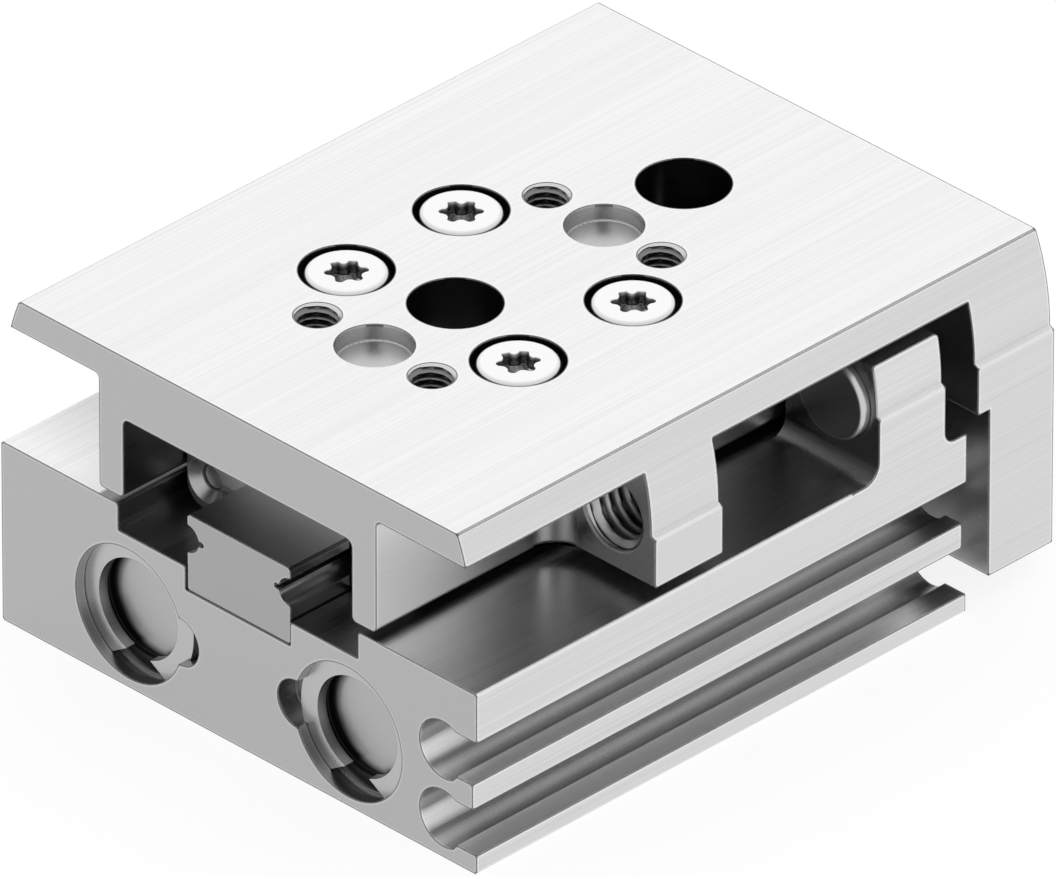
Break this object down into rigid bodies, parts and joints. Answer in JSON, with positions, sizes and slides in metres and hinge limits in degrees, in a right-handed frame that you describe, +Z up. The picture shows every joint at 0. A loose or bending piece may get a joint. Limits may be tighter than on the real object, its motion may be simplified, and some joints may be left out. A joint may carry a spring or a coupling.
{
  "type": "pneumatic slide table",
  "caption": "Compact twin-piston pneumatic slide table: flat drilled table with front yoke on a ball guide, sensor slots and a side stop lug.",
  "frame": {"origin": "centre of the housing's flat base", "axes": "+X along the stroke, the way the table advances, +Y across, away from the sensor slots and the stop lug, +Z up, out of the table's top"},
  "size_m": [0.0505, 0.0416, 0.0239],
  "materials": {
    "housing_aluminium": "fine brushed, clear anodised",
    "table_aluminium": "brushed along the stroke, clear anodised",
    "guide_steel": "ground and polished",
    "plate_steel": "plain rolled sheet over a wiper lip",
    "screw_steel": "bright zinc plated",
    "ring_steel": "polished spring steel",
    "button_steel": "hardened, dark, ground",
    "cover_aluminium": "turned",
    "piston_aluminium": "turned",
    "rod_steel": "ground, hard chromed",
    "ball_steel": "polished",
    "magnet": "sintered, matt",
    "end_plastic": "moulded, matt",
    "seal_rubber": "matt",
    "cushion_rubber": "matt"
  },
  "bodies": {
    "housing": {"housing": "housing_aluminium", "guide_rail": "guide_steel", "rail_screws": "screw_steel", "stop_button": "button_steel", "rear_cover_left": "cover_aluminium", "cover_seal_left": "seal_rubber", "cover_ring_left": "ring_steel", "rear_cushion_left": "cushion_rubber", "front_cushion_left": "cushion_rubber", "rod_bush_left": "cover_aluminium", "bush_seal_left": "seal_rubber", "rod_seal_left": "seal_rubber", "bush_ring_left": "ring_steel", "rear_cover_right": "cover_aluminium", "cover_seal_right": "seal_rubber", "cover_ring_right": "ring_steel", "rear_cushion_right": "cushion_rubber", "front_cushion_right": "cushion_rubber", "rod_bush_right": "cover_aluminium", "bush_seal_right": "seal_rubber", "rod_seal_right": "seal_rubber", "bush_ring_right": "ring_steel"},
    "table": {"slide_table": "table_aluminium", "carriage_block": "guide_steel", "end_cap_rear": "end_plastic", "end_cap_front": "end_plastic", "end_seal_rear": "plate_steel", "end_seal_front": "plate_steel", "retaining_wires": "screw_steel", "cap_screws": "screw_steel", "carriage_screws": "screw_steel", "rod_screws": "screw_steel", "piston_rod_left": "rod_steel", "piston_left": "piston_aluminium", "piston_seals_left": "seal_rubber", "piston_magnet_left": "magnet", "ball_row_left": "ball_steel", "piston_rod_right": "rod_steel", "piston_right": "piston_aluminium", "piston_seals_right": "seal_rubber", "piston_magnet_right": "magnet", "ball_row_right": "ball_steel"}
  },
  "joints": [
    {"name": "slide_travel", "type": "slide", "parent": "housing", "child": "table", "axis": [1, 0, 0], "range_m": [0, 0.01]}
  ]
}
